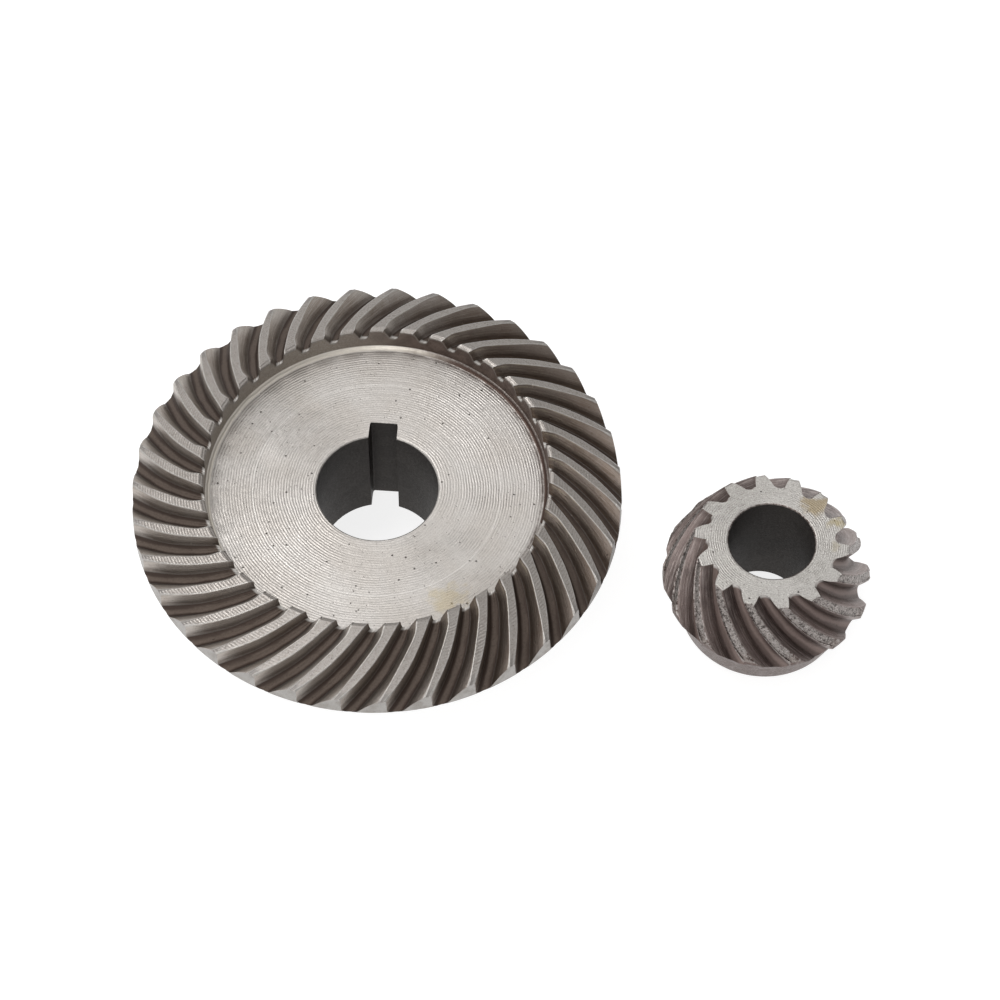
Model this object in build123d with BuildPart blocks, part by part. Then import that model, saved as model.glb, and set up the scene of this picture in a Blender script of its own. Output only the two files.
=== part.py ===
from build123d import *
from math import acos, atan, cos, pi, radians, sin, sqrt, tan
import os

# Spiral bevel gear pair: a crown wheel lying on its hub with its teeth up, and beside it
# the pinion that drives it, standing on its large end.
# Millimetres. Origin: the wheel's bore axis, on the plane that both gears stand on. +Z is up.
# The wheel's teeth are right hand and the pinion's left hand, for shafts at 90 degrees.

# ---- the tooth system, shared by both gears ----
MODULE = 1.93                 # outer transverse module
WHEEL_TEETH = 35
PINION_TEETH = 14
PRESSURE_ANGLE = 20.0         # in the normal section
SPIRAL_ANGLE = 35.0           # at the middle of the face width
CUTTER_RADIUS = 38.0          # radius of the tooth's lengthwise curve on the crown plane
WHEEL_ADDENDUM = 0.42         # in modules
PINION_ADDENDUM = 0.75        # in modules: the small gear gets the long addendum
CLEARANCE = 0.13              # tip to root, in modules
WHEEL_THICKNESS = 0.43        # tooth thickness as a share of the pitch
PINION_THICKNESS = 0.53       # the share that is left over is backlash
ROOT_FILLET = 0.22            # in modules
TIP_OVERCUT = 0.35            # how far a tooth space is cut above the tooth tips, in modules
TOE_OVERCUT = 2.5             # how far it is cut past the inner ends of the teeth
SECTION_SPACING = 2.4         # between the lofted sections of a tooth space
WHEEL_SECTIONS = 7
PINION_SECTIONS = 8           # one more, as the pinion's teeth run on down to its collar

# ---- crown wheel blank ----
WHEEL_BORE = 17.0
WHEEL_HEIGHT = 18.15          # from the hub's back face to the disc face
APEX_HEIGHT = 31.5            # mounting distance: hub back face to the pinion's axis
DISC_RADIUS = 23.3            # edge of the flat disc face inside the teeth
TOE_RADIUS = 24.0             # the short wall that the teeth rise from
TOE_WALL_FOOT = 18.65         # height of that wall's foot, above the sloping edge of the disc
TOE_BEVEL = 0.5               # bevel along the inner ends of the tooth tips
RIM_RADIUS = 34.3             # at the sharp lower edge of the rim
RIM_TIP_RADIUS = 34.1         # at the tooth tips
RIM_FOOT = 16.0               # height of that lower edge
BACK_RADIUS = 30.2            # where the rim's conical back meets the flat web
WEB_BACK = 11.9               # height of the web's back face
HUB_RADIUS = 16.0
HUB_FILLET = 2.0
BORE_CHAMFER = 0.3
EDGE_CHAMFER = 0.6
KEYWAY_WIDTH = 4.0
KEYWAY_DEPTH = 2.4            # beyond the bore's wall
KEYWAY_CORNER = 0.5
KEYWAY_ANGLE = 88.0           # direction of the keyway about +Z, from +X

# ---- pinion blank ----
PINION_BORE = 12.0
PINION_HEIGHT = 18.5
PINION_APEX_HEIGHT = 42.4     # from the large end to the pitch apex, which lies above the small end
COLLAR_RADIUS = 11.4          # at the large end's face
PINION_RIM_RADIUS = 14.6      # the tooth tips are turned off at this radius
PINION_RIM_WIDTH = 0.8
HEEL_FOOT_RADIUS = 13.4       # where the collar meets the heel face of the teeth
HEEL_FOOT_HEIGHT = 6.8

# ---- layout ----
PINION_X = 55.0
PINION_Y = -6.9
WHEEL_PHASE = 3.3             # where a tooth's centre is at the middle of the face, from +X
PINION_PHASE = 12.3

# ---- values that follow from the above ----
RATIO = WHEEL_TEETH / PINION_TEETH
PINION_PITCH_ANGLE = atan(1 / RATIO)
WHEEL_PITCH_ANGLE = pi / 2 - PINION_PITCH_ANGLE
OUTER_DISTANCE = MODULE * WHEEL_TEETH / (2 * sin(WHEEL_PITCH_ANGLE))
TOE_DISTANCE = TOE_RADIUS / sin(WHEEL_PITCH_ANGLE)
MEAN_DISTANCE = (OUTER_DISTANCE + TOE_DISTANCE) / 2
TRANSVERSE_ANGLE = atan(tan(radians(PRESSURE_ANGLE)) / cos(radians(SPIRAL_ANGLE)))
CUTTER_OFFSET = sqrt(
    MEAN_DISTANCE**2
    + CUTTER_RADIUS**2
    - 2 * MEAN_DISTANCE * CUTTER_RADIUS * sin(radians(SPIRAL_ANGLE))
)


def crown_angle(distance):
    """Angle on the crown plane of the tooth's curve, at a distance from the pitch apex."""
    chord = distance**2 + CUTTER_OFFSET**2 - CUTTER_RADIUS**2
    return acos(chord / (2 * distance * CUTTER_OFFSET))


def twist(distance, pitch_angle):
    """How far the tooth has turned about its gear's axis, from the middle of the face outwards."""
    return (crown_angle(MEAN_DISTANCE) - crown_angle(distance)) / sin(pitch_angle)


def involute(angle):
    return tan(angle) - angle


def half_space(radius, pitch_radius, teeth, thickness):
    """Half the width of a tooth space, in the spur gear that is equal to the bevel section."""
    base_radius = pitch_radius * cos(TRANSVERSE_ANGLE)
    angle_here = acos(min(1.0, base_radius / radius))
    half_tooth = thickness * pi / teeth + involute(TRANSVERSE_ANGLE) - involute(angle_here)
    return radius * sin(pi / teeth - half_tooth)


def space_outline(distance, pitch_angle, teeth, thickness, addendum, dedendum):
    """Points down one flank of a tooth space, and the depth of its floor, at one section."""
    module_here = MODULE * distance / OUTER_DISTANCE
    pitch_radius = distance * tan(pitch_angle)
    equal_teeth = teeth / cos(pitch_angle)
    top = (addendum + TIP_OVERCUT) * module_here
    floor = -dedendum * module_here
    foot = floor + ROOT_FILLET * module_here
    flank = []
    for step in range(5):
        height = top + (foot - top) * step / 4
        half = half_space(pitch_radius + height, pitch_radius, equal_teeth, thickness)
        flank.append((half, height))
    return flank, floor, ROOT_FILLET * module_here


def section_plane(distance, pitch_angle, apex_height, azimuth):
    """Plane square to the pitch cone's element, X along the pitch circle and Y out of the cone."""
    outward = Vector(cos(azimuth), sin(azimuth), 0)
    element = outward * sin(pitch_angle) - Vector(0, 0, 1) * cos(pitch_angle)
    origin = Vector(0, 0, apex_height) + element * distance
    return Plane(origin=origin, x_dir=(-sin(azimuth), cos(azimuth), 0), z_dir=element)


def tooth_space(
    pitch_angle, teeth, thickness, addendum, dedendum, apex_height, hand, phase, sections
):
    """The solid that a cutter sweeps out between two teeth, lofted along the spiral."""
    with BuildPart() as cutter:
        for section in range(sections):
            distance = TOE_DISTANCE - TOE_OVERCUT + SECTION_SPACING * section
            azimuth = radians(phase) + pi / teeth + hand * twist(distance, pitch_angle)
            plane = section_plane(distance, pitch_angle, apex_height, azimuth)
            flank, floor, rounding = space_outline(
                distance, pitch_angle, teeth, thickness, addendum, dedendum
            )
            mirrored = [(-x, y) for x, y in flank]
            foot = flank[-1][0]
            with BuildSketch(plane):
                with BuildLine():
                    Line(mirrored[0], flank[0])
                    Spline(*flank)
                    Line(flank[-1], (foot - rounding, floor))
                    Line((foot - rounding, floor), (rounding - foot, floor))
                    Line((rounding - foot, floor), mirrored[-1])
                    Spline(*reversed(mirrored))
                make_face()
        loft()
    return cutter.part


# ---- crown wheel ----
wheel_tip_slope = tan(WHEEL_PITCH_ANGLE + atan(WHEEL_ADDENDUM * MODULE / OUTER_DISTANCE))
tip_start = TOE_RADIUS + TOE_BEVEL

with BuildPart() as wheel:
    with BuildSketch(Plane.XZ):
        with BuildLine():
            Polyline(
                (WHEEL_BORE / 2, 0),
                (WHEEL_BORE / 2, WHEEL_HEIGHT),
                (DISC_RADIUS, WHEEL_HEIGHT),
                (TOE_RADIUS, TOE_WALL_FOOT),
                (TOE_RADIUS, APEX_HEIGHT - TOE_RADIUS / wheel_tip_slope - TOE_BEVEL),
                (tip_start, APEX_HEIGHT - tip_start / wheel_tip_slope),
                (RIM_TIP_RADIUS, APEX_HEIGHT - RIM_TIP_RADIUS / wheel_tip_slope),
                (RIM_RADIUS, RIM_FOOT),
                (BACK_RADIUS, WEB_BACK),
                (HUB_RADIUS, WEB_BACK),
                (HUB_RADIUS, 0),
                close=True,
            )
        make_face()
    revolve(axis=Axis.Z)
    hub_corner = wheel.edges().filter_by(GeomType.CIRCLE).filter_by(
        lambda edge: abs(edge.radius - HUB_RADIUS) < 0.01
    )
    fillet(hub_corner.sort_by(Axis.Z)[-1], HUB_FILLET)
    hub_edge = wheel.edges().filter_by(GeomType.CIRCLE).filter_by(
        lambda edge: abs(edge.radius - HUB_RADIUS) < 0.01
    )
    chamfer(hub_edge.sort_by(Axis.Z)[0], EDGE_CHAMFER)
    with BuildSketch() as keyway_sketch:
        with Locations(
            (
                (WHEEL_BORE / 2 + KEYWAY_DEPTH) / 2 * cos(radians(KEYWAY_ANGLE)),
                (WHEEL_BORE / 2 + KEYWAY_DEPTH) / 2 * sin(radians(KEYWAY_ANGLE)),
            )
        ):
            RectangleRounded(
                WHEEL_BORE / 2 + KEYWAY_DEPTH, KEYWAY_WIDTH, KEYWAY_CORNER, rotation=KEYWAY_ANGLE
            )
    extrude(amount=WHEEL_HEIGHT, mode=Mode.SUBTRACT)
    bore_edges = wheel.edges().filter_by(GeomType.CIRCLE).filter_by(
        lambda edge: abs(edge.radius - WHEEL_BORE / 2) < 0.01
    )
    chamfer(bore_edges, BORE_CHAMFER)
    wheel_space = tooth_space(
        WHEEL_PITCH_ANGLE,
        WHEEL_TEETH,
        WHEEL_THICKNESS,
        WHEEL_ADDENDUM,
        PINION_ADDENDUM + CLEARANCE,
        APEX_HEIGHT,
        -1,
        WHEEL_PHASE,
        WHEEL_SECTIONS,
    )
    with PolarLocations(0, WHEEL_TEETH):
        add(wheel_space, mode=Mode.SUBTRACT)
wheel.part.label = "bevel_wheel"

# ---- pinion ----
pinion_tip_slope = tan(PINION_PITCH_ANGLE + atan(PINION_ADDENDUM * MODULE / OUTER_DISTANCE))
rim_top = PINION_APEX_HEIGHT - PINION_RIM_RADIUS / pinion_tip_slope

with BuildPart() as pinion:
    with BuildSketch(Plane(origin=(PINION_X, PINION_Y, 0), x_dir=(1, 0, 0), z_dir=(0, -1, 0))):
        with BuildLine():
            Polyline(
                (PINION_BORE / 2, 0),
                (PINION_BORE / 2, PINION_HEIGHT),
                ((PINION_APEX_HEIGHT - PINION_HEIGHT) * pinion_tip_slope, PINION_HEIGHT),
                (PINION_RIM_RADIUS, rim_top),
                (PINION_RIM_RADIUS, rim_top - PINION_RIM_WIDTH),
                (HEEL_FOOT_RADIUS, HEEL_FOOT_HEIGHT),
                (COLLAR_RADIUS, 0),
                close=True,
            )
        make_face()
    revolve(axis=Axis((PINION_X, PINION_Y, 0), (0, 0, 1)))
    base_edge = pinion.edges().filter_by(GeomType.CIRCLE).group_by(Axis.Z)[0].sort_by(SortBy.RADIUS)[-1]
    chamfer(base_edge, EDGE_CHAMFER)
    pinion_bore_edges = pinion.edges().filter_by(GeomType.CIRCLE).filter_by(
        lambda edge: abs(edge.radius - PINION_BORE / 2) < 0.01
    )
    chamfer(pinion_bore_edges, BORE_CHAMFER)
    pinion_space = tooth_space(
        PINION_PITCH_ANGLE,
        PINION_TEETH,
        PINION_THICKNESS,
        PINION_ADDENDUM,
        WHEEL_ADDENDUM + CLEARANCE,
        PINION_APEX_HEIGHT,
        1,
        PINION_PHASE,
        PINION_SECTIONS,
    )
    with Locations((PINION_X, PINION_Y)):
        with PolarLocations(0, PINION_TEETH):
            add(pinion_space, mode=Mode.SUBTRACT)
pinion.part.label = "bevel_pinion"

os.makedirs("parts", exist_ok=True)
export_step(wheel.part, "parts/bevel_wheel.step")
export_step(pinion.part, "parts/bevel_pinion.step")
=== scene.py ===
from math import cos, pi, radians, sin, tan

import bpy
import numpy as np
from mathutils import Matrix, Vector


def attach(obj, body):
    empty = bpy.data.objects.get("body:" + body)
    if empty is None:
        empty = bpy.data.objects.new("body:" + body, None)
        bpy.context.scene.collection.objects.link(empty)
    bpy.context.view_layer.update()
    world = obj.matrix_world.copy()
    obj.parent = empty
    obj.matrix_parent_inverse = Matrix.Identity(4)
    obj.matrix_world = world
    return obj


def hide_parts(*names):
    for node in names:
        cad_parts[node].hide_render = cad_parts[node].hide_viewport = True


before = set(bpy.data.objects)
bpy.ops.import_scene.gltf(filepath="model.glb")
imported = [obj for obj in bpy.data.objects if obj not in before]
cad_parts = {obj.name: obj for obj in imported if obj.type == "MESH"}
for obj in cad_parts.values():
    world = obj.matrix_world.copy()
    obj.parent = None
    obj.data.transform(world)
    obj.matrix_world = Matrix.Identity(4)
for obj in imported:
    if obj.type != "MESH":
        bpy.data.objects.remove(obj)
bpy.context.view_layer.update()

# Spiral bevel gear pair. Each gear is one closed mesh: rows of points run round the axis and
# follow the blank's profile, and the columns follow the tooth outline, so edges can be rounded
# and every vertex knows which surface it is on. Sizes are in millimetres. The tooth system and
# the blanks are the CAD part's. The constants under "wear and finish" are only in this model, and
# the bore chamfer is smaller here.

MM = 0.001

# ---- the tooth system ----
MODULE = 1.93
TEETH = {"wheel": 35, "pinion": 14}
ADDENDUM = {"wheel": 0.42, "pinion": 0.75}
CLEARANCE = 0.13
THICKNESS = {"wheel": 0.43, "pinion": 0.53}
HAND = {"wheel": -1, "pinion": 1}
PHASE = {"wheel": 3.3, "pinion": 12.3}
APEX = {"wheel": 31.5, "pinion": 42.4}
PRESSURE_ANGLE = radians(20)
SPIRAL_ANGLE = radians(35)
CUTTER_RADIUS = 38.0
ROOT_FILLET = 0.22

PITCH_ANGLE = {"pinion": np.arctan(TEETH["pinion"] / TEETH["wheel"])}
PITCH_ANGLE["wheel"] = pi / 2 - PITCH_ANGLE["pinion"]
OUTER = MODULE * TEETH["wheel"] / (2 * sin(PITCH_ANGLE["wheel"]))
TOE_RADIUS = 24.0
TOE = TOE_RADIUS / sin(PITCH_ANGLE["wheel"])
MEAN = (OUTER + TOE) / 2
KAPPA = MODULE / OUTER
TRANSVERSE = np.arctan(tan(PRESSURE_ANGLE) / cos(SPIRAL_ANGLE))
OFFSET = np.sqrt(MEAN**2 + CUTTER_RADIUS**2 - 2 * MEAN * CUTTER_RADIUS * sin(SPIRAL_ANGLE))

# ---- blanks ----
WHEEL_BORE_RADIUS = 8.5
WHEEL_HEIGHT = 18.15
DISC_RADIUS = 23.3
TOE_WALL_FOOT = 18.65
RIM_TIP_RADIUS = 34.1
RIM_RADIUS = 34.3
RIM_FOOT = 16.0
BACK_RADIUS = 30.2
WEB_BACK = 11.9
HUB_RADIUS = 16.0
HUB_FILLET = 2.0
BORE_CHAMFER = 0.16           # the CAD part has a wider one
EDGE_CHAMFER = 0.6
KEYWAY_HALF = 2.0
KEYWAY_REACH = 10.9
KEYWAY_ANGLE = radians(88)
PINION_BORE_RADIUS = 6.0
PINION_HEIGHT = 18.5
PINION_RIM_RADIUS = 14.6
PINION_RIM_WIDTH = 0.8
HEEL_FOOT_RADIUS = 13.4
HEEL_FOOT_HEIGHT = 6.8
COLLAR_RADIUS = 11.4
PINION_PLACE = (55.0, -6.9)


def crown_angle(distance):
    chord = distance**2 + OFFSET**2 - CUTTER_RADIUS**2
    return np.arccos(chord / (2 * distance * OFFSET))


def twist(distance, pitch_angle):
    return (crown_angle(MEAN) - crown_angle(distance)) / sin(pitch_angle)


def involute(angle):
    return np.tan(angle) - angle


def half_space(height, distance, gear):
    """Half the width of a tooth space at a height above the pitch cone."""
    pitch_radius = distance * tan(PITCH_ANGLE[gear])
    teeth = TEETH[gear] / cos(PITCH_ANGLE[gear])
    here = np.arccos(np.minimum(1.0, pitch_radius * cos(TRANSVERSE) / (pitch_radius + height)))
    half_tooth = THICKNESS[gear] * pi / teeth + involute(TRANSVERSE) - involute(here)
    return (pitch_radius + height) * np.sin(pi / teeth - half_tooth)


def smooth(value):
    value = np.clip(value, 0, 1)
    return value * value * (3 - 2 * value)


# ---- wear and finish: what this model has and the CAD part doesn't ----
EDGE_ROUND = 0.08
HEEL_ROUND = {"wheel": 0.18, "pinion": 0.28}    # added to it at the heel
ROUND_CUT = 0.29              # how far in the middle of a rounded edge lies, per its radius
TOE_FLARE = {"wheel": 0.42, "pinion": 0.0}      # the share of its space that the toe closes
OTHER_FLANK = 0.15            # and how much of that the other flank takes
HEEL_TAPER = {"wheel": 0.75, "pinion": 0.0}     # how much one flank gives up at the heel
LEAST_TAPER = 0.14            # and the share of that which it gives up all along
HEEL_DRIFT = 0.35             # how far round the wheel's teeth drift at the heel
FLOOR_RIDGE = {"wheel": 0.10, "pinion": 0.0}
RIDGE_PLACE = 0.15
RIDGE_WIDTH = 0.22
TOE_BLEND = 2.4               # how far from the teeth's ends these changes reach
HEEL_BLEND = 1.9
TAPER_BLEND = 5.5
TOE_BEVEL = 0.5               # how far out the bevel at the wheel's toe reaches
BEVEL_DROP = 0.22
LAND_DROP = 0.25
RIM_DROP = 0.05
RIPPLE = 0.010                # height of the feed marks on the turned faces
PINION_RIPPLE = 0.006
BORE_RIPPLE = 0.012

# ---- columns: one tooth pitch, from a tooth's centre over a space to the next one's centre ----
LAND, EDGE, FLANK, FLOOR = range(4)
LAND_SHARES = (0.0, 0.3, 0.6, 0.85)
FLANK_STEPS = (0.0, 0.12, 0.28, 0.46, 0.64, 0.82, 1.0)
FLOOR_SHARES = (-0.8, -0.55, -0.3, -0.05, 0.15, 0.35, 0.6, 0.82)
FAR = 99.0                    # too far from an end for its changes to reach


def pitch_columns():
    """(kind, side, share) of each column in one pitch; the next pitch starts on its own land."""
    columns = [(LAND, -1, share) for share in LAND_SHARES]
    columns += [(EDGE, -1, step) for step in (0, 1)]
    columns += [(FLANK, -1, step) for step in FLANK_STEPS]
    columns += [(FLOOR, 0, share) for share in FLOOR_SHARES]
    columns += [(FLANK, 1, step) for step in reversed(FLANK_STEPS)]
    columns += [(EDGE, 1, step) for step in (1, 0)]
    columns += [(LAND, 1, share) for share in reversed(LAND_SHARES[1:])]
    return columns


def tooth_point(gear, kind, side, step, distance, from_toe, to_heel):
    """Radius and angle of a column at a distance from the apex, and its height over the cone."""
    delta = PITCH_ANGLE[gear]
    other = "pinion" if gear == "wheel" else "wheel"
    dedendum = ADDENDUM[other] + CLEARANCE
    foot = -dedendum + ROOT_FILLET
    scale = KAPPA * distance
    top = ADDENDUM[gear] * scale
    rounding = EDGE_ROUND + HEEL_ROUND[gear] * smooth(1 - to_heel / HEEL_BLEND)
    leading = side > 0 or (kind == FLOOR and step > 0)
    flare = TOE_FLARE[gear] * (1 if leading else OTHER_FLANK)
    narrowing = 1 - flare * smooth(1 - from_toe / TOE_BLEND)
    relief = 0.0
    if leading:
        grown = smooth(1 - to_heel / TAPER_BLEND)
        relief = HEEL_TAPER[gear] * (LEAST_TAPER + (1 - LEAST_TAPER) * grown)
    half_top = half_space(top, distance, gear) * narrowing + relief
    if kind == LAND:
        height = top
        edge_angle = np.arctan2(half_top + rounding, distance * sin(delta) + top * cos(delta))
        centre = pi / TEETH[gear]
        angle = side * (centre + (edge_angle - centre) * step)
        radius = distance * sin(delta) + top * cos(delta)
        return radius, angle, height
    if kind == EDGE:
        inset = rounding if step == 0 else ROUND_CUT * rounding
        height = top - (0.0 if step == 0 else ROUND_CUT * rounding)
        lateral = side * (half_top + inset)
    elif kind == FLANK:
        level = ADDENDUM[gear] + (foot - ADDENDUM[gear]) * step
        height = level * scale - rounding * (1 - step) ** 3
        half = half_space(height, distance, gear) * narrowing
        lateral = side * (half + relief * (1 - step) ** 1.6)
    else:
        lateral = step * half_space(foot * scale, distance, gear) * narrowing
        height = (-dedendum + ROOT_FILLET * step * step) * scale
        height += FLOOR_RIDGE[gear] * np.exp(-((step - RIDGE_PLACE) / RIDGE_WIDTH) ** 2)
    outward = distance * sin(delta) + height * cos(delta)
    return np.hypot(lateral, outward), np.arctan2(lateral, outward), height


def tooth_rows(gear, starts, ends, shares):
    """Radius, angle, height and masks of each column at each share of the face width."""
    delta = PITCH_ANGLE[gear]
    lowest = -(ADDENDUM["pinion" if gear == "wheel" else "wheel"] + CLEARANCE)
    foot = lowest + ROOT_FILLET
    tracks = []
    for kind, side, step in pitch_columns():
        level = ADDENDUM[gear] if kind in (LAND, EDGE) else lowest + ROOT_FILLET * step * step
        if kind == FLANK:
            level = ADDENDUM[gear] + (foot - ADDENDUM[gear]) * step
        first, last = starts(level), ends(level)
        # the ends depend on how far the column lies to the side, so they are found in rounds
        for _ in range(4):
            found = []
            for distance, near, far in ((first, 0.0, FAR), (last, FAR, 0.0)):
                radius, _, _ = tooth_point(gear, kind, side, step, distance, near, far)
                plain = distance * (sin(delta) + level * KAPPA * cos(delta))
                found.append(radius / plain)
            first, last = starts(level, found[0]), ends(level, found[1])
        tracks.append((kind, side, step, first, last))
    rows = []
    for share in shares:
        radii, angles, heights, fields = [], [], [], []
        for kind, side, step, first, last in tracks:
            distance = first + (last - first) * share
            from_toe = distance - first
            to_heel = last - distance
            radius, angle, height = tooth_point(
                gear, kind, side, step, distance, from_toe, to_heel
            )
            angle += radians(PHASE[gear]) + pi / TEETH[gear]
            angle += HAND[gear] * twist(distance, delta)
            if gear == "wheel":
                angle -= HEEL_DRIFT / distance * smooth(1 - to_heel / TAPER_BLEND)
            radii.append(radius)
            angles.append(angle)
            heights.append(APEX[gear] - distance * cos(delta) + height * sin(delta))
            kinds = [1.0 if kind == one else 0.0 for one in (LAND, EDGE, FLANK, FLOOR)]
            across = step if kind == FLOOR else float(side)
            depth = {FLANK: step, FLOOR: 1.0}.get(kind, 0.0)
            fields.append((*kinds, across, depth, from_toe, to_heel))
        rows.append((radii, angles, heights, fields))
    return rows


FIELD_NAMES = ("land", "edge", "flank", "floor", "across", "depth", "from_toe", "to_heel")
PLAIN_NAMES = ("disc", "wall", "bore", "back")
SHARP_ANGLE = radians(32)


def one_field(fields, name):
    return fields[:, FIELD_NAMES.index(name)]


def whole_circle(row, teeth):
    """A row of one pitch, repeated round the gear."""
    radii, angles, heights, fields = (np.array(part, float) for part in row)
    step = 2 * pi / teeth
    return (
        np.tile(radii, teeth),
        np.concatenate([angles + step * k for k in range(teeth)]),
        np.tile(heights, teeth),
        np.tile(fields, (teeth, 1)),
    )


def spread(angles):
    """As many angles, evenly spaced and nearly in step with these."""
    count = len(angles)
    steps = np.arange(count) * 2 * pi / count
    return steps + np.mean(angles - steps)


class Lathe:
    """Rows of points round an axis, joined into one closed mesh."""

    def __init__(self):
        self.rows = []
        self.names = FIELD_NAMES + PLAIN_NAMES

    def add(self, radii, angles, heights, fields=None, **masks):
        count = len(angles)
        values = np.zeros((count, len(self.names)))
        if fields is not None:
            values[:, : len(FIELD_NAMES)] = fields
        for name, value in masks.items():
            values[:, self.names.index(name)] = value
        radii = np.broadcast_to(np.asarray(radii, float), (count,))
        heights = np.broadcast_to(np.asarray(heights, float), (count,))
        self.rows.append((radii, angles, heights, values))

    def build(self, name, place):
        count = len(self.rows[0][1])
        number = len(self.rows)
        points = []
        for radii, angles, heights, values in self.rows:
            points.append(np.stack([radii * np.cos(angles), radii * np.sin(angles), heights], 1))
        points = np.concatenate(points) * MM
        values = np.concatenate([row[3] for row in self.rows])
        i = np.arange(number)[:, None]
        j = np.arange(count)[None, :]
        following = (i + 1) % number
        beside = (j + 1) % count
        quads = np.stack(
            [i * count + j, i * count + beside, following * count + beside, following * count + j],
            -1,
        ).reshape(-1, 4)
        mesh = bpy.data.meshes.new(name)
        mesh.from_pydata(points.tolist(), [], quads.tolist())
        for index, field in enumerate(self.names):
            attribute = mesh.attributes.new(field, "FLOAT", "POINT")
            attribute.data.foreach_set("value", values[:, index].astype(np.float32))
        mesh.polygons.foreach_set("use_smooth", [True] * len(mesh.polygons))
        mesh.update()
        # a negative volume means that the faces look inwards
        corners = points[quads]
        volume = 0.0
        for second, third in ((1, 2), (2, 3)):
            volume += (corners[:, 0] * np.cross(corners[:, second], corners[:, third])).sum()
        if volume < 0:
            mesh.flip_normals()
        mesh.set_sharp_from_angle(angle=SHARP_ANGLE)
        piece = bpy.data.objects.new(name, mesh)
        bpy.context.scene.collection.objects.link(piece)
        piece.location = (place[0] * MM, place[1] * MM, 0)
        bpy.context.view_layer.update()
        return piece


def keyway_outline(angles, radius, reach, half):
    """Radius of the bore with its keyway, at each angle."""
    away = (angles - KEYWAY_ANGLE + pi) % (2 * pi) - pi
    across = np.abs(np.sin(away))
    ahead = np.cos(away)
    side = half / np.maximum(across, 1e-6)
    end = reach / np.maximum(ahead, 1e-6)
    soft = 2.2  # the higher, the sharper the slot's corners
    nearer = np.minimum(side, end)
    rounded = nearer - np.log1p(np.exp(-soft * np.abs(side - end))) / soft
    slot = np.where(ahead > 0, rounded, 0)
    return np.maximum(radius, slot)


def turned(radius, wave):
    """A shallow height ripple, like the lathe's feed marks: a fine one on a coarse one."""
    return wave * (0.6 * np.sin(radius * 2 * pi / 0.42) + 0.4 * np.sin(radius * 2 * pi / 1.1 + 1.3))


# ---- crown wheel ----
# the rows of points along the teeth, closer together near both ends
WHEEL_SHARES = [0, 0.012, 0.03, 0.055, 0.09, 0.13, 0.18, 0.24]
WHEEL_SHARES += [0.24 + 0.05 * step for step in range(1, 13)]
WHEEL_SHARES += [0.88, 0.91, 0.94, 0.965, 0.985, 1.0]


def wheel_start(level, swell=1.0):
    """Distance from the apex at which a column leaves the toe wall."""
    delta = PITCH_ANGLE["wheel"]
    return TOE_RADIUS / ((sin(delta) + level * KAPPA * cos(delta)) * swell)


def tip_height(radius):
    delta = PITCH_ANGLE["wheel"]
    return APEX["wheel"] - radius / tan(delta + np.arctan(ADDENDUM["wheel"] * KAPPA))


def wheel_end(level, swell=1.0):
    """Distance from the apex at which a column meets the rim or the rim's conical back."""
    delta = PITCH_ANGLE["wheel"]
    outward = (sin(delta) + level * KAPPA * cos(delta)) * swell
    downward = cos(delta) - level * KAPPA * sin(delta)
    rim_top = tip_height(RIM_TIP_RADIUS)
    lean = (RIM_RADIUS - RIM_TIP_RADIUS) / (rim_top - RIM_FOOT)
    on_rim = (RIM_TIP_RADIUS + lean * (rim_top - APEX["wheel"])) / (outward - lean * downward)
    on_back = (RIM_RADIUS - RIM_FOOT + APEX["wheel"]) / (outward + downward)
    return min(on_rim, on_back)


def wheel_bore_and_disc(lathe, even):
    """Up the bore with its keyway, over the chamfer, and out across the turned disc."""
    outline = keyway_outline(even, WHEEL_BORE_RADIUS, KEYWAY_REACH, KEYWAY_HALF)
    wide = keyway_outline(even, WHEEL_BORE_RADIUS + BORE_CHAMFER, KEYWAY_REACH, KEYWAY_HALF)
    lathe.add(wide, even, 0.0, back=1)
    for height in np.linspace(BORE_CHAMFER, WHEEL_HEIGHT - BORE_CHAMFER, 12):
        lathe.add(outline, even, height, bore=1)
    lathe.add(wide, even, WHEEL_HEIGHT - 0.015, edge=1)
    lathe.add(wide + 0.06, even, WHEEL_HEIGHT, disc=1, edge=0.5)
    for radius in np.linspace(WHEEL_BORE_RADIUS + 0.7, DISC_RADIUS - 0.12, 70):
        radii = np.maximum(radius, wide + 0.06 + 0.03 * (radius - WHEEL_BORE_RADIUS))
        lathe.add(radii, even, WHEEL_HEIGHT - 0.012 + turned(radii, RIPPLE), disc=1)
    lathe.add(DISC_RADIUS, even, WHEEL_HEIGHT, disc=1, edge=0.6)


def wheel_toe_wall(lathe, even, toe_heights):
    """The sloped ring round the disc, then the wall up to the teeth's inner ends."""
    lathe.add(DISC_RADIUS + 0.14, even, WHEEL_HEIGHT + 0.05, disc=1)
    lathe.add(DISC_RADIUS + 0.42, even, WHEEL_HEIGHT + 0.26, disc=1)
    lathe.add(TOE_RADIUS - 0.08, even, TOE_WALL_FOOT - 0.06, disc=1, edge=0.4)
    for share in (0.0, 0.15, 0.4, 0.7, 0.9):
        heights = TOE_WALL_FOOT + (toe_heights - 0.5 - TOE_WALL_FOOT) * share
        lathe.add(TOE_RADIUS, even, heights, wall=1)


def wheel_teeth(lathe, rows):
    """The teeth, with a bevel along their inner ends."""
    for radii, angles, heights, fields in rows:
        inward = np.clip(1 - (radii - TOE_RADIUS) / TOE_BEVEL, 0, 1)
        outer = np.clip((radii - RIM_TIP_RADIUS + 0.3) / 0.3, 0, 1)
        on_land = one_field(fields, "land") + one_field(fields, "edge")
        heights = heights - inward * (BEVEL_DROP + LAND_DROP * on_land)
        heights = heights - RIM_DROP * outer * on_land
        lathe.add(radii, angles, heights, fields)


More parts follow.
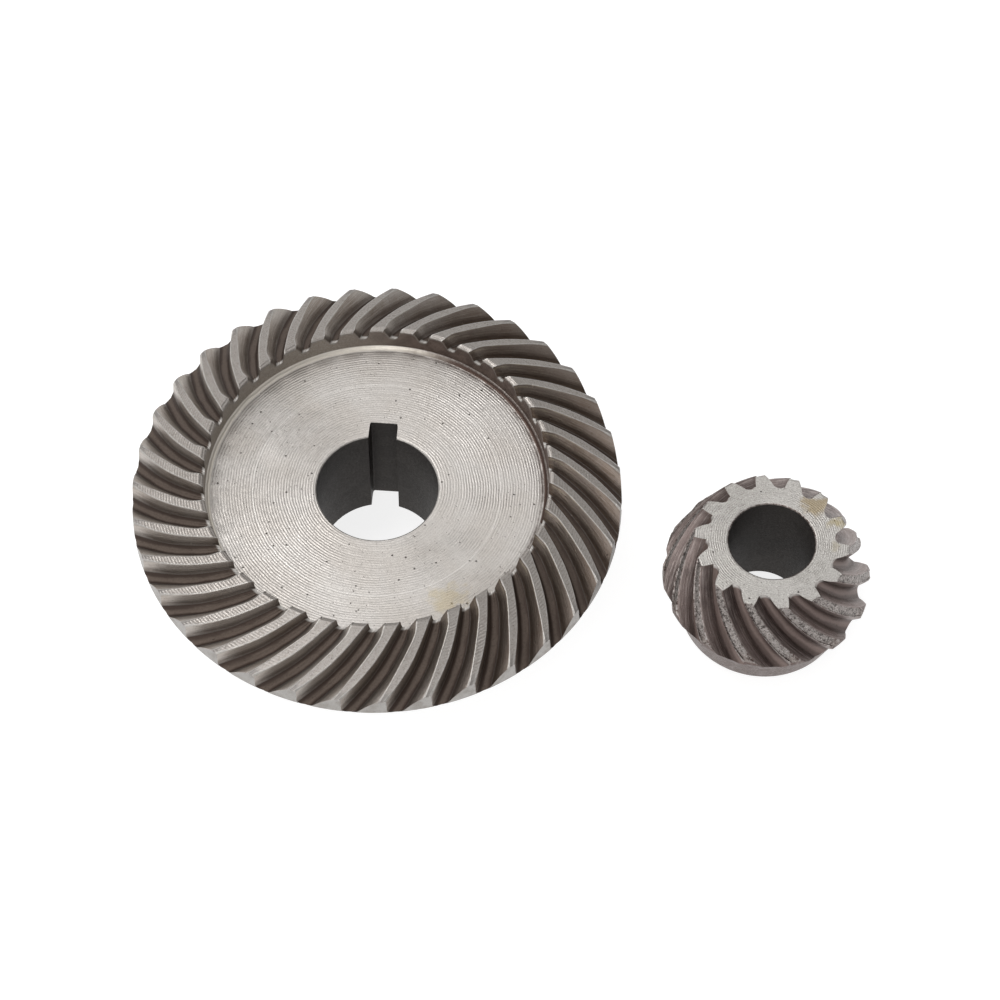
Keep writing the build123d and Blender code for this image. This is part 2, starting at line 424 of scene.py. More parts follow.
def wheel_rim(lathe, heel_angles, heel_heights):
    """Down the rim. Each row is below the last one, even where a tooth space cuts into the rim."""
    rim_top = tip_height(RIM_TIP_RADIUS)
    lean = (RIM_RADIUS - RIM_TIP_RADIUS) / (rim_top - RIM_FOOT)
    for number, target in enumerate(np.linspace(rim_top - 0.4, RIM_FOOT, 6), 1):
        heights = np.minimum(target, heel_heights - 0.14 - 0.004 * number)
        on_rim = RIM_TIP_RADIUS + lean * (rim_top - heights)
        on_back = RIM_RADIUS - (RIM_FOOT - heights)
        radii = np.where(heights >= RIM_FOOT, on_rim, on_back)
        lathe.add(radii, heel_angles, heights, back=0.5, to_heel=0)


def wheel_back(lathe, heel_angles, even):
    """In under the conical back and the web, down the hub, and in to the bore."""
    even_heel = spread(heel_angles)
    for share in (0.12, 0.4, 0.7, 1.0):
        radius = RIM_RADIUS + (BACK_RADIUS - RIM_RADIUS) * share
        unwound = heel_angles + (even_heel - heel_angles) * share
        lathe.add(radius, unwound, RIM_FOOT + (WEB_BACK - RIM_FOOT) * share, back=1)
    web = np.linspace(BACK_RADIUS - 0.3, HUB_RADIUS + HUB_FILLET, 40)
    for radius, share in zip(web, np.linspace(0, 1, len(web))):
        unwound = even_heel + (even - even_heel) * share
        lathe.add(radius, unwound, WEB_BACK + turned(radius, RIPPLE) + 0.012, back=1)
    for turn in np.linspace(0, pi / 2, 7)[1:]:
        radius = HUB_RADIUS + HUB_FILLET * (1 - sin(turn))
        lathe.add(radius, even, WEB_BACK - HUB_FILLET * (1 - cos(turn)), back=1)
    for height in np.linspace(WEB_BACK - HUB_FILLET - 0.6, EDGE_CHAMFER, 8):
        lathe.add(HUB_RADIUS, even, height, back=1)
    lathe.add(HUB_RADIUS - EDGE_CHAMFER, even, 0.0, back=1, edge=1)
    for radius in np.linspace(HUB_RADIUS - EDGE_CHAMFER - 0.2, KEYWAY_REACH + 0.6, 10):
        lathe.add(radius, even, 0.0, back=1)


def make_wheel():
    one_pitch = tooth_rows("wheel", wheel_start, wheel_end, WHEEL_SHARES)
    rows = [whole_circle(row, TEETH["wheel"]) for row in one_pitch]
    _, toe_angles, toe_heights, _ = rows[0]
    _, heel_angles, heel_heights, _ = rows[-1]
    even = spread(toe_angles)
    lathe = Lathe()
    wheel_bore_and_disc(lathe, even)
    wheel_toe_wall(lathe, even, toe_heights)
    wheel_teeth(lathe, rows)
    wheel_rim(lathe, heel_angles, heel_heights)
    wheel_back(lathe, heel_angles, even)
    return lathe.build("crown_wheel", (0, 0))


# ---- pinion ----
PINION_SHARES = [0, 0.008, 0.022, 0.045, 0.08, 0.12, 0.17]
PINION_SHARES += [0.17 + 0.043 * step for step in range(1, 17)]
PINION_SHARES += [0.89, 0.92, 0.95, 0.975, 0.99, 1.0]


def pinion_start(level, swell=1.0):
    """Distance from the apex at the small end, which is flat, so that swell changes nothing."""
    delta = PITCH_ANGLE["pinion"]
    return (APEX["pinion"] - PINION_HEIGHT) / (cos(delta) - level * KAPPA * sin(delta))


def pinion_rim_top():
    slope = tan(PITCH_ANGLE["pinion"] + np.arctan(ADDENDUM["pinion"] * KAPPA))
    return APEX["pinion"] - PINION_RIM_RADIUS / slope


HEEL_LEAN = (PINION_RIM_RADIUS - HEEL_FOOT_RADIUS) / (
    pinion_rim_top() - PINION_RIM_WIDTH - HEEL_FOOT_HEIGHT
)
COLLAR_LEAN = (HEEL_FOOT_RADIUS - COLLAR_RADIUS) / HEEL_FOOT_HEIGHT


def pinion_end(level, swell=1.0):
    """Distance from the apex at which a column meets the rim, the heel cone or the collar."""
    delta = PITCH_ANGLE["pinion"]
    outward = (sin(delta) + level * KAPPA * cos(delta)) * swell
    downward = cos(delta) - level * KAPPA * sin(delta)
    ends = []
    for lean in (HEEL_LEAN, COLLAR_LEAN):
        reach = HEEL_FOOT_RADIUS + lean * (APEX["pinion"] - HEEL_FOOT_HEIGHT)
        ends.append(reach / (outward + lean * downward))
    return min(PINION_RIM_RADIUS / outward, max(ends))


def pinion_outline(heights):
    """Radius of the blank below the tooth tips."""
    on_heel = HEEL_FOOT_RADIUS + HEEL_LEAN * (heights - HEEL_FOOT_HEIGHT)
    on_collar = HEEL_FOOT_RADIUS + COLLAR_LEAN * (heights - HEEL_FOOT_HEIGHT)
    radii = np.where(heights > HEEL_FOOT_HEIGHT, on_heel, on_collar)
    return np.minimum(radii, PINION_RIM_RADIUS)


def spiral_lean(row):
    """Angle per height of the line that the tooth ends follow on the blank."""
    _, angles, heights, fields = row
    tips = one_field(fields, "edge") > 0.5
    feet = (one_field(fields, "flank") > 0.5) & (one_field(fields, "depth") > 0.99)
    rise = heights[tips].mean() - heights[feet].mean()
    return (angles[tips].mean() - angles[feet].mean()) / rise


def pinion_bore(lathe, bottom_angles, toe_angles):
    """Up the bore, unwinding the spiral on the way."""
    chamfer_radius = PINION_BORE_RADIUS + BORE_CHAMFER
    lathe.add(chamfer_radius, bottom_angles, 0.0, back=1)
    for height in np.linspace(BORE_CHAMFER, PINION_HEIGHT - BORE_CHAMFER, 14):
        ripple = BORE_RIPPLE * sin(height * 2.1)
        unwound = bottom_angles + (toe_angles - bottom_angles) * height / PINION_HEIGHT
        lathe.add(PINION_BORE_RADIUS + max(ripple, 0), unwound, height, bore=1)
    lathe.add(chamfer_radius, toe_angles, PINION_HEIGHT - 0.015, edge=1)
    lathe.add(chamfer_radius + 0.05, toe_angles, PINION_HEIGHT, disc=1)


def pinion_small_end(lathe, toe_radii, toe_angles):
    """Out across the small end: round the bore first, then out to the tooth outline."""
    inner = toe_radii.min() - 0.35
    for radius in np.linspace(PINION_BORE_RADIUS + 0.55, inner, 14):
        height = PINION_HEIGHT - 0.010 + turned(radius, PINION_RIPPLE)
        lathe.add(radius, toe_angles, height, disc=1)
    for share in (0.2, 0.45, 0.7, 0.88, 0.965):
        lathe.add(inner + (toe_radii - inner) * share, toe_angles, PINION_HEIGHT - 0.005, disc=1)


def pinion_back(lathe, lean, heel_angles, heel_heights):
    """Down the rim, the heel cone and the collar, along the spiral so that nothing folds back."""
    rim_top = pinion_rim_top()
    targets = [rim_top - 0.3, rim_top - PINION_RIM_WIDTH, 8.2, 7.5, HEEL_FOOT_HEIGHT]
    targets += [5.6, 4.4, 3.0, 1.8, EDGE_CHAMFER]
    for number, target in enumerate(targets):
        heights = np.minimum(target, heel_heights - 0.02 - 0.01 * number)
        lowered = heel_angles + lean * (heights - heel_heights)
        plain = 1 if target < HEEL_FOOT_HEIGHT else 0.6
        lathe.add(pinion_outline(heights), lowered, heights, back=plain)


def pinion_bottom(lathe, bottom_angles):
    lathe.add(COLLAR_RADIUS - EDGE_CHAMFER + 0.1, bottom_angles, 0.0, back=1, edge=1)
    for radius in np.linspace(COLLAR_RADIUS - EDGE_CHAMFER - 0.3, PINION_BORE_RADIUS + 0.9, 6):
        lathe.add(radius, bottom_angles, 0.0, back=1)


def make_pinion():
    one_pitch = tooth_rows("pinion", pinion_start, pinion_end, PINION_SHARES)
    rows = [whole_circle(row, TEETH["pinion"]) for row in one_pitch]
    toe_radii, toe_angles, _, _ = rows[0]
    _, heel_angles, heel_heights, _ = rows[-1]
    lean = spiral_lean(rows[-1])
    bottom_angles = heel_angles - lean * heel_heights
    lathe = Lathe()
    pinion_bore(lathe, bottom_angles, toe_angles)
    pinion_small_end(lathe, toe_radii, toe_angles)
    for index, (radii, angles, heights, fields) in enumerate(rows):
        edge_drop = 0.05 if index == 0 else 0.0
        lathe.add(radii, angles, heights - edge_drop, fields)
    pinion_back(lathe, lean, heel_angles, heel_heights)
    pinion_bottom(lathe, bottom_angles)
    return lathe.build("small_pinion", PINION_PLACE)


# ---- materials ----
class Tree:
    """Short names for the shader nodes used here."""

    def __init__(self, name):
        self.material = bpy.data.materials.new(name)
        self.material.use_nodes = True
        self.tree = self.material.node_tree
        self.tree.nodes.clear()
        self.output = self.tree.nodes.new("ShaderNodeOutputMaterial")
        self.shader = self.tree.nodes.new("ShaderNodeBsdfPrincipled")
        self.tree.links.new(self.shader.outputs[0], self.output.inputs["Surface"])

    def feed(self, socket, value):
        if isinstance(value, bpy.types.NodeSocket):
            self.tree.links.new(value, socket)
        else:
            socket.default_value = value

    def math(self, operation, first, second=0.0, clamp=False):
        node = self.tree.nodes.new("ShaderNodeMath")
        node.operation = operation
        node.use_clamp = clamp
        self.feed(node.inputs[0], first)
        self.feed(node.inputs[1], second)
        return node.outputs[0]

    def plus(self, first, second, clamp=False):
        return self.math("ADD", first, second, clamp)

    def minus(self, first, second, clamp=False):
        return self.math("SUBTRACT", first, second, clamp)

    def times(self, first, second):
        return self.math("MULTIPLY", first, second)

    def length(self, x, y):
        return self.math("SQRT", self.plus(self.times(x, x), self.times(y, y)))

    def remap(self, value, low, high, to_low=0.0, to_high=1.0):
        node = self.tree.nodes.new("ShaderNodeMapRange")
        node.interpolation_type = "SMOOTHSTEP"
        self.feed(node.inputs["Value"], value)
        node.inputs["From Min"].default_value = low
        node.inputs["From Max"].default_value = high
        node.inputs["To Min"].default_value = to_low
        node.inputs["To Max"].default_value = to_high
        return node.outputs[0]

    def mix(self, share, first, second):
        node = self.tree.nodes.new("ShaderNodeMix")
        node.data_type = "RGBA"
        self.feed(node.inputs["Factor"], share)
        for socket, value in ((node.inputs[6], first), (node.inputs[7], second)):
            self.feed(socket, value if isinstance(value, bpy.types.NodeSocket) else (*value, 1))
        return node.outputs[2]

    def attribute(self, name):
        node = self.tree.nodes.new("ShaderNodeAttribute")
        node.attribute_name = name
        return node.outputs["Fac"]

    def vector(self, x, y, z):
        node = self.tree.nodes.new("ShaderNodeCombineXYZ")
        for socket, value in zip(node.inputs, (x, y, z)):
            self.feed(socket, value)
        return node.outputs[0]

    def noise(self, vector, scale, detail, roughness=0.55):
        node = self.tree.nodes.new("ShaderNodeTexNoise")
        self.feed(node.inputs["Vector"], vector)
        node.inputs["Scale"].default_value = scale
        node.inputs["Detail"].default_value = detail
        node.inputs["Roughness"].default_value = roughness
        return node.outputs["Fac"]

    def cells(self, vector, scale):
        node = self.tree.nodes.new("ShaderNodeTexVoronoi")
        self.feed(node.inputs["Vector"], vector)
        node.inputs["Scale"].default_value = scale
        return node.outputs["Distance"]

    def bump(self, height, strength, distance, normal=None):
        node = self.tree.nodes.new("ShaderNodeBump")
        node.inputs["Strength"].default_value = strength
        node.inputs["Distance"].default_value = distance
        self.feed(node.inputs["Height"], height)
        if normal is not None:
            self.feed(node.inputs["Normal"], normal)
        return node.outputs[0]


# places on the wheel, in mm from its axis
SMEAR_RADII = (22.5, 23.4)
SLOPED_RING_RADII = (23.28, 23.42)
WALL_FEED = 0.34


class GearSteel(Tree):
    """Turned and cut steel: every surface of the gear has its own colour, marks and gloss.

    Noise scales are per millimetre. Some marks go by the place on the gear: they stand for
    wear and oily dirt on one side, for painted shade on the flanks that face away from the
    light, and for a painted reflection on the wheel's disc.
    """

    def __init__(self, name, look):
        super().__init__(name)
        self.look = look
        coordinates = self.tree.nodes.new("ShaderNodeTexCoord").outputs["Object"]
        in_mm = self.tree.nodes.new("ShaderNodeVectorMath")
        in_mm.operation = "SCALE"
        in_mm.inputs["Scale"].default_value = 1 / MM
        self.feed(in_mm.inputs[0], coordinates)
        self.place = in_mm.outputs[0]
        split = self.tree.nodes.new("ShaderNodeSeparateXYZ")
        self.feed(split.inputs[0], self.place)
        self.x, self.y, self.z = split.outputs
        self.radius = self.length(self.x, self.y)
        self.mask = {field: self.attribute(field) for field in FIELD_NAMES + PLAIN_NAMES}
        self.broad = self.noise(self.place, 0.11, 3)
        self.patchy = self.noise(self.place, 0.55, 4)
        self.grain = self.noise(self.place, 3.4, 4, 0.7)
        self.speck = self.noise(self.place, look["fleck_scale"], 5, look["fleck_rough"])
        self.blot = self.noise(self.place, 1.9, 5, 0.75)
        self.read_rings()
        self.read_flank_lines()
        self.pits = self.spots(0.72, (0.13, 0.06), 0.5, (0.44, 0.54))
        self.specks = self.spots(1.5, (0.17, 0.07), 0.8, (0.45, 0.56))

    def read_rings(self):
        """The lathe's feed marks: rings of slowly varying strength."""
        wander = self.times(self.noise(self.place, 0.25, 2), 0.5)
        turns = self.times(self.plus(self.radius, wander), 2 * pi / self.look["feed"])
        ring = self.plus(self.times(self.math("SINE", turns), 0.5), 0.5)
        leaning = self.minus(self.noise(self.place, 0.16, 2), self.times(self.x, 0.006))
        strength = self.remap(leaning, 0.30, 0.60, 0.35, 1.0)
        sideways = self.math("DIVIDE", self.math("ABSOLUTE", self.x), self.plus(self.radius, 0.01))
        strength = self.times(strength, self.remap(sideways, 0.15, 0.75, 0.35, 1.0))
        gaps = self.noise(self.place, 1.1, 3, 0.7)
        unbroken = self.remap(gaps, 0.36, 0.60, self.look["ring_gaps"], 1.0)
        self.rings = self.times(self.times(ring, strength), unbroken)
        outward_only = self.vector(self.times(self.radius, 5.2), 0.0, 0.0)
        self.ring_noise = self.noise(outward_only, 1.0, 4, 0.8)

    def read_flank_lines(self):
        """The cutter's lengthwise marks on the flanks."""
        down = self.times(self.mask["depth"], 9.0)
        along = self.times(self.mask["from_toe"], 0.22)
        self.flank_lines = self.noise(self.vector(down, along, self.broad), 1.4, 4, 0.7)

    def spots(self, cells_per_mm, size, patches_per_mm, patches):
        """Small round pits, gathered in patches."""
        dots = self.remap(self.cells(self.place, cells_per_mm), *size)
        return self.times(dots, self.remap(self.noise(self.place, patches_per_mm, 2), *patches))

    def stain_and_reflection_patch(self, colour, stain_and_reflection):
        """A colour with a ragged patch: a stain on the pinion, a painted reflection on the wheel.
        """
        spot_x, spot_y, size, patch_colour, strength = stain_and_reflection
        away = self.length(self.minus(self.x, spot_x), self.minus(self.y, spot_y))
        ragged = self.plus(away, self.times(self.minus(self.patchy, 0.5), size * 2.4))
        return self.mix(self.remap(ragged, size, size * 0.3, 0, strength), colour, patch_colour)

    def turned_face(self):
        look = self.look
        colour = self.mix(self.remap(self.broad, 0.35, 0.65), look["face"], look["face_warm"])
        colour = self.mix(self.times(self.rings, look["ring_share"]), colour, look["face_dark"])
        bright_rings = self.times(self.remap(self.ring_noise, 0.45, 0.8), look["bright_share"])
        colour = self.mix(bright_rings, colour, look["face_bright"])
        dark_specks = self.remap(self.speck, 0.54, 0.62, 0, look["face_speck"])
        colour = self.mix(dark_specks, colour, look["face_dark"])
        bright_specks = self.remap(self.speck, 0.45, 0.38, 0, look["face_speck"])
        colour = self.mix(bright_specks, colour, look["face_bright"])
        dust = self.times(self.remap(self.grain, 0.5, 0.75), look["face_grain"])
        colour = self.mix(dust, colour, look["face_dark"])
        colour = self.mix(self.times(self.specks, 0.7), colour, look["pit"])
        colour = self.mix(self.times(self.pits, 0.9), colour, look["pit"])
        # a painted highlight: a thin bright ring on the disc
        if look["bright_ring"]:
            off = self.math("ABSOLUTE", self.minus(self.radius, look["bright_ring"]))
            colour = self.mix(self.remap(off, 0.12, 0.03, 0, 0.40), colour, look["face_bright"])
        # stains on the pinion; on the wheel, a painted reflection on the disc
        for stain_and_reflection in look["stains_and_reflections"]:
            colour = self.stain_and_reflection_patch(colour, stain_and_reflection)
        return self.sloped_ring(self.smeared(colour))

    def smeared(self, colour):
        """Oil along one side of the disc's edge."""
        one_side = self.remap(self.plus(self.x, self.times(self.y, 0.4)), 4, 20)
        smear = self.times(self.remap(self.radius, *SMEAR_RADII), one_side)
        smear = self.times(smear, self.remap(self.patchy, 0.3, 0.6, 0.3, self.look["smear"]))
        return self.mix(smear, colour, self.look["wall"])

    def sloped_ring(self, colour):
        """The ring round the disc: pale on one side, oxidised on the other."""
        on_ring = self.times(self.remap(self.radius, *SLOPED_RING_RADII), self.mask["disc"])
        oxidised = self.remap(self.plus(self.x, self.times(self.patchy, 6.0)), 2, 14)
        ring_colour = self.mix(oxidised, self.look["ring_pale"], self.look["wall"])
        return self.mix(on_ring, colour, ring_colour)

    def tips(self):
        """Tooth tips: turned too, with flecks."""
        look = self.look
        colour = self.mix(self.times(self.rings, 0.30), look["tip"], look["tip_dark"])
        flecks = self.remap(self.speck, look["fleck_from"], look["fleck_from"] + 0.07)
        colour = self.mix(self.times(flecks, look["fleck"]), colour, look["fleck_colour"])
        dust = self.times(self.remap(self.grain, 0.50, 0.66), look["tip_grain"])
        colour = self.mix(dust, colour, look["tip_dark"])
        blots = self.remap(self.blot, 0.53, 0.59, 0, look["blots"])
        colour = self.mix(blots, colour, look["tip_dark"])
        heel = self.remap(self.mask["to_heel"], 1.6, 0.5)
        return self.mix(self.times(heel, look["heel_share"]), colour, look["heel"])

    def flanks(self):
        """Oxide with worn streaks; painted shade at the root, the toe and on the oily side."""
        look = self.look
        depth, from_toe = self.mask["depth"], self.mask["from_toe"]
        colour = self.mix(self.remap(self.broad, 0.38, 0.62), look["flank"], look["flank_other"])
        worn_lines = self.remap(self.flank_lines, 0.42, 0.68, 0, 0.75)
        colour = self.mix(worn_lines, colour, look["flank_light"])
        # painted shade: darker deep in the tooth space, towards the root
        colour = self.mix(self.remap(depth, 0.45, 1.0, 0, 0.55), colour, look["flank_shade_and_dust"])
        dust = self.times(self.remap(self.grain, 0.55, 0.75), 0.4)
        colour = self.mix(dust, colour, look["flank_shade_and_dust"])
        # painted shade: darker towards the toe
        colour = self.mix(self.remap(from_toe, 1.0, 0.0, 0, 0.5), colour, look["flank_shade_and_dust"])
        # darker on one side: oily there, and painted shade on the flanks that face away from the
        # light
        one_side = self.plus(self.x, self.times(self.patchy, 9.0))
        oiled_and_shaded = self.remap(one_side, -4.0, 24.0, 0, look["oiled_and_shaded"])
        colour = self.mix(oiled_and_shaded, colour, look["oil_and_shade"])
        streaks = self.remap(self.flank_lines, 0.50, 0.66)
        streaks = self.times(streaks, self.remap(self.mask["to_heel"], 2.0, 9.0))
        streaks = self.times(streaks, self.remap(depth, 0.9, 0.2, 0, 0.8))
        return self.mix(self.times(streaks, oiled_and_shaded), colour, look["streak"])

    def floors(self):
        """The bottoms of the tooth spaces: a granular band between lines of painted shade."""
        look = self.look
        off_middle = self.math("ABSOLUTE", self.minus(self.mask["across"], 0.10))
        ragged = self.plus(off_middle, self.times(self.minus(self.flank_lines, 0.5), 0.9))
        # both colours are kept dark partly as painted shade down in the tooth spaces
        band = self.times(self.remap(ragged, 0.60, 0.15), self.remap(self.grain, 0.3, 0.6, 0.45, 1))
        # the darker one is painted shade in the creases at the flanks' feet, broken up by grain
        colour = self.mix(band, look["floor_shade_and_grain"], look["floor"])
        at_toe = self.remap(self.mask["from_toe"], 0.55, 0.2, 0, 0.6)
        return self.mix(at_toe, colour, look["face_bright"])

    def walls(self):
        """The toe wall: oxidised, paler on one side, with turning marks."""
        look = self.look
        colour = self.mix(self.remap(self.patchy, 0.35, 0.65), look["wall"], look["wall_other"])
        pale = self.times(self.remap(self.x, 6, -10), self.remap(self.grain, 0.35, 0.65, 0.6, 1.0))
        colour = self.mix(pale, colour, look["wall_pale"])
        marks = self.math("SINE", self.times(self.z, 2 * pi / WALL_FEED))
        marks = self.remap(self.plus(marks, self.grain), 0.1, 1.4, 0, 0.35)
        return self.mix(marks, colour, look["wall_mark"])

    def bores(self):
        look = self.look
        return self.mix(self.remap(self.flank_lines, 0.4, 0.7), look["bore"], look["bore_other"])

    def backs(self):
        """Hub, web, rim and collar."""
        look = self.look
        colour = self.mix(self.times(self.rings, 0.35), look["back"], look["back_other"])
        colour = self.mix(self.remap(self.patchy, 0.45, 0.65, 0, 0.7), colour, look["patch"])
        colour = self.mix(self.remap(self.speck, 0.55, 0.68, 0, 0.45), colour, look["pit"])
        dark = self.remap(self.blot, 0.54, 0.62, 0, look["blots"])
        colour = self.mix(dark, colour, look["back_other"])
        pale = self.remap(self.blot, 0.45, 0.38, 0, look["blots"] * 0.6)
        return self.mix(pale, colour, look["back_pale"])

    def colour(self):
        backs = self.backs()
        colour = self.mix(self.mask["land"], backs, self.tips())
        colour = self.mix(self.mask["back"], colour, backs)
        colour = self.mix(self.mask["flank"], colour, self.flanks())
        colour = self.mix(self.mask["floor"], colour, self.floors())
        colour = self.mix(self.mask["disc"], colour, self.turned_face())
        colour = self.mix(self.mask["wall"], colour, self.walls())
        colour = self.mix(self.mask["bore"], colour, self.bores())
        worn = self.remap(self.blot, 0.42, 0.56, 0.85, self.look["worn_least"])
        return self.mix(self.times(self.mask["edge"], worn), colour, self.look["worn"])

    def summed(self, shares):
        """The sum of some masks, each times its share."""
        total = 0.0
        for field, share in shares.items():
            total = self.plus(total, self.times(self.mask[field], share))
        return total

    def roughness(self):
        gloss = self.remap(self.grain, 0.3, 0.7, self.look["gloss_low"], self.look["gloss_high"])
        dull = self.summed({"flank": 0.04, "wall": 0.12, "floor": 0.12, "bore": 0.15})
        return self.plus(gloss, dull, clamp=True)

    def metallic(self):
        oxide = self.summed({"bore": 0.4, "wall": 0.4, "floor": 0.3, "disc": 0.15})
        return self.minus(0.96, oxide, clamp=True)

    def normal(self):
        mask, look = self.mask, self.look
        turned_faces = self.plus(mask["land"], mask["disc"])
        turned_faces = self.plus(turned_faces, self.times(mask["back"], 0.8), clamp=True)
        marks = self.plus(self.rings, self.times(self.ring_noise, 0.7))
        marks = self.times(marks, turned_faces)
        cut_faces = self.plus(mask["flank"], self.times(mask["floor"], 0.5))
        lines = self.times(self.flank_lines, cut_faces)
        normal = self.bump(marks, look["ring_bump"], 0.06 * MM)
        normal = self.bump(lines, 0.5, 0.12 * MM, normal)
        normal = self.bump(self.grain, look["grain_bump"], 0.06 * MM, normal)
        return self.bump(self.times(self.pits, -1.0), 0.6, 0.1 * MM, normal)


def gear_steel(name, look):
    """The finished material of one gear."""
    steel = GearSteel(name, look)
    steel.feed(steel.shader.inputs["Base Color"], steel.colour())
    steel.feed(steel.shader.inputs["Roughness"], steel.roughness())
    steel.feed(steel.shader.inputs["Metallic"], steel.metallic())
    steel.feed(steel.shader.inputs["Normal"], steel.normal())
    return steel.material


# A patch is its place, its size, its colour and its strength.
WHEEL_LOOK = {
    "feed": 0.38,
    "ring_share": 0.32,
    "ring_bump": 0.7,
    "ring_gaps": 0.55,
    "bright_share": 0.22,
    "face_speck": 0.12,
    "blots": 0.15,
    "face_grain": 0.26,
    "fleck_scale": 6.5,
    "fleck_rough": 0.65,
    "face": (0.475, 0.45, 0.425),
    "face_warm": (0.44, 0.41, 0.38),
    "face_dark": (0.22, 0.20, 0.185),
    "face_bright": (0.66, 0.64, 0.61),
    "pit": (0.035, 0.028, 0.024),
    "patch": (0.26, 0.24, 0.22),
    "smear": 1.0,
    "bright_ring": 17.4,
    # on the wheel these patches are a painted reflection on the disc, not stains
    "stains_and_reflections": (
        (10.5, -17.5, 3.2, (0.40, 0.33, 0.20), 0.55),
        (-11.0, 13.0, 3.0, (0.36, 0.31, 0.26), 0.15),
    ),
    "tip": (0.345, 0.32, 0.298),
    "tip_dark": (0.145, 0.118, 0.10),
    "tip_grain": 0.35,
    "fleck_from": 0.58,
    "fleck": 0.65,
    "fleck_colour": (0.07, 0.055, 0.048),
    "heel": (0.22, 0.205, 0.195),
    "heel_share": 0.75,
    "oiled_and_shaded": 0.68,
    "streak": (0.38, 0.325, 0.235),
    "oil_and_shade": (0.080, 0.048, 0.030),
    "flank": (0.43, 0.395, 0.365),
    "flank_other": (0.325, 0.28, 0.245),
    "flank_light": (0.53, 0.49, 0.45),
    "flank_shade_and_dust": (0.060, 0.042, 0.031),
    "floor": (0.105, 0.080, 0.065),
    "floor_shade_and_grain": (0.045, 0.030, 0.023),
    "wall": (0.060, 0.038, 0.030),
    "wall_other": (0.12, 0.085, 0.070),
    "wall_pale": (0.40, 0.36, 0.315),
    "wall_mark": (0.21, 0.17, 0.145),
    "ring_pale": (0.60, 0.555, 0.49),
    "bore": (0.030, 0.025, 0.022),
    "bore_other": (0.060, 0.052, 0.046),
    "back": (0.36, 0.345, 0.33),
    "back_other": (0.20, 0.185, 0.175),
    "back_pale": (0.44, 0.42, 0.40),
    "worn": (0.52, 0.495, 0.465),
    "worn_least": 0.35,
    "gloss_low": 0.34,
    "gloss_high": 0.50,
    "grain_bump": 0.35,
}

PINION_LOOK = dict(
    WHEEL_LOOK,
    feed=0.31,
    ring_share=0.70,
    ring_bump=0.6,
    ring_gaps=0.0,
    bright_share=0.55,
    face_speck=0.85,
    blots=0.80,
    face_grain=0.55,
    fleck_scale=5.2,
    fleck_rough=0.85,
    smear=0.0,
    bright_ring=0,
    face=(0.47, 0.452, 0.428),
    face_warm=(0.42, 0.402, 0.377),
    stains_and_reflections=(
        (6.4, 6.0, 2.3, (0.28, 0.215, 0.12), 0.75),
        (9.2, 3.2, 1.5, (0.34, 0.28, 0.15), 0.7),
        (8.8, -0.5, 1.0, (0.34, 0.30, 0.22), 0.5),
    ),
    tip=(0.27, 0.242, 0.228),
    tip_dark=(0.035, 0.027, 0.024),
    tip_grain=0.75,
    fleck_from=0.53,
    fleck=0.9,
    fleck_colour=(0.52, 0.49, 0.465),
    heel=(0.17, 0.13, 0.112),
    heel_share=0.35,
    oiled_and_shaded=0.0,
    patch=(0.17, 0.135, 0.125),
    flank=(0.235, 0.186, 0.172),
    flank_other=(0.120, 0.095, 0.088),
    flank_light=(0.42, 0.365, 0.345),
    flank_shade_and_dust=(0.058, 0.040, 0.034),
    floor=(0.20, 0.150, 0.134),
    floor_shade_and_grain=(0.115, 0.084, 0.074),
    back=(0.115, 0.078, 0.067),
    back_other=(0.050, 0.036, 0.032),
    back_pale=(0.30, 0.265, 0.25),
    worn=(0.42, 0.39, 0.37),
    worn_least=0.0,
    grain_bump=0.7,
)

wheel = make_wheel()
wheel.data.materials.append(gear_steel("wheel_turned_steel", WHEEL_LOOK))
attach(wheel, "wheel")
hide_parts("bevel_wheel")

pinion = make_pinion()
pinion.data.materials.append(gear_steel("pinion_oxidised_steel", PINION_LOOK))
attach(pinion, "pinion")
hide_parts("bevel_pinion")


# ---- floor, light and camera ----
def floor_plane():
    """A pale floor that also glows a little, so that it is as white as the background."""
    mesh = bpy.data.meshes.new("floor")
    half = 3.0
    drop = 0.00005
    corners = [(-half, -half), (half, -half), (half, half), (-half, half)]
    mesh.from_pydata([(x, y, -drop) for x, y in corners], [], [(0, 1, 2, 3)])
    floor = bpy.data.objects.new("floor", mesh)
    bpy.context.scene.collection.objects.link(floor)
    paint = Tree("pale_floor")
    paint.shader.inputs["Base Color"].default_value = (0.35, 0.35, 0.35, 1)
    paint.shader.inputs["Roughness"].default_value = 0.9
    paint.shader.inputs["Emission Color"].default_value = (1, 1, 1, 1)
    paint.shader.inputs["Emission Strength"].default_value = 0.8
    floor.data.materials.append(paint.material)


def area_light(name, place, target, size, power):
    lamp = bpy.data.lights.new(name, "AREA")
    lamp.shape = "DISK"
    lamp.size = size
    lamp.energy = power
    holder = bpy.data.objects.new(name, lamp)
    bpy.context.scene.collection.objects.link(holder)
    holder.location = place
    aim = Vector(target) - Vector(place)
    holder.rotation_euler = aim.to_track_quat("-Z", "Y").to_euler()


floor_plane()
MIDDLE = (0.02, 0.0, 0.01)
area_light("key", (-0.30, 0.20, 0.75), MIDDLE, 0.40, 2.2)
area_light("fill", (-0.2, -0.6, 0.5), MIDDLE, 0.5, 2.0)


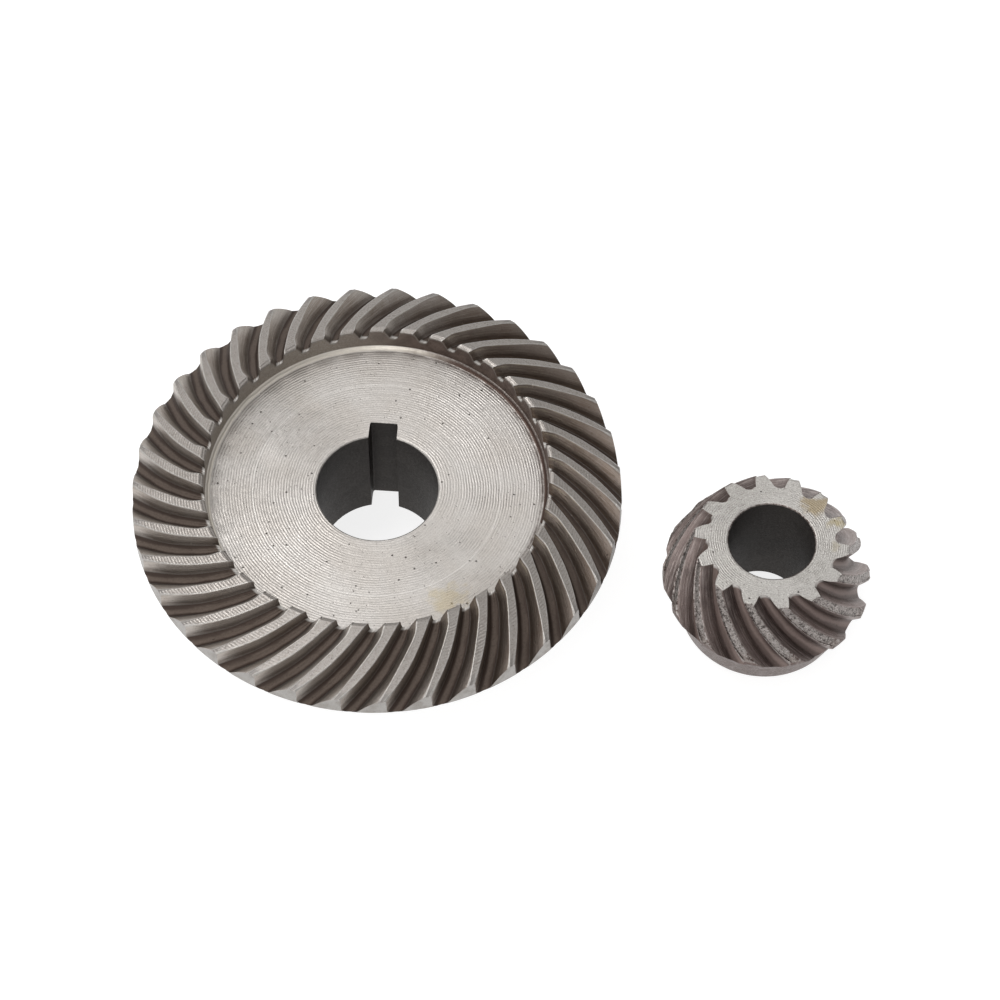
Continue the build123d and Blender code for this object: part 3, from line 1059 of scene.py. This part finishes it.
def studio_light(towards, dimmest, brightest):
    """A white tent round the object: brightest on one side and dim on the other."""
    world = bpy.data.worlds.new("studio")
    bpy.context.scene.world = world
    world.use_nodes = True
    nodes, links = world.node_tree.nodes, world.node_tree.links
    coordinates = nodes.new("ShaderNodeTexCoord")
    product = nodes.new("ShaderNodeVectorMath")
    product.operation = "DOT_PRODUCT"
    product.inputs[1].default_value = Vector(towards).normalized()
    spread_out = nodes.new("ShaderNodeMapRange")
    spread_out.interpolation_type = "SMOOTHSTEP"
    spread_out.inputs["From Min"].default_value = -0.35
    spread_out.inputs["From Max"].default_value = 0.80
    spread_out.inputs["To Min"].default_value = dimmest
    spread_out.inputs["To Max"].default_value = brightest
    links.new(coordinates.outputs["Generated"], product.inputs[0])
    links.new(product.outputs["Value"], spread_out.inputs["Value"])
    links.new(spread_out.outputs[0], nodes["Background"].inputs["Strength"])
    nodes["Background"].inputs["Color"].default_value = (1, 1, 1, 1)


bpy.context.scene.view_settings.view_transform = "Standard"
studio_light((-0.50, 0.30, 0.75), 0.32, 0.90)

# the camera's place and turn were fitted to the bores, the rims and the tooth ends
CAMERA_PLACE = (19.28, -209.20, 351.10)
CAMERA_YAW = radians(-0.573)
CAMERA_PITCH = radians(58.027)
CAMERA_ROLL = radians(1.317)
forward = Vector(
    (
        sin(CAMERA_YAW) * cos(CAMERA_PITCH),
        cos(CAMERA_YAW) * cos(CAMERA_PITCH),
        -sin(CAMERA_PITCH),
    )
)
level_right = Vector((cos(CAMERA_YAW), -sin(CAMERA_YAW), 0))
level_up = level_right.cross(forward)
right = level_right * cos(CAMERA_ROLL) + level_up * sin(CAMERA_ROLL)
up = level_up * cos(CAMERA_ROLL) - level_right * sin(CAMERA_ROLL)
camera_data = bpy.data.cameras.new("camera")
camera_data.sensor_width = 36.0
camera_data.lens = 101.3
camera_data.clip_start = 0.01
camera = bpy.data.objects.new("camera", camera_data)
bpy.context.scene.collection.objects.link(camera)
turn = Matrix((right, up, -forward)).transposed().to_4x4()
camera.matrix_world = Matrix.Translation(Vector(CAMERA_PLACE) * MM) @ turn
bpy.context.scene.camera = camera
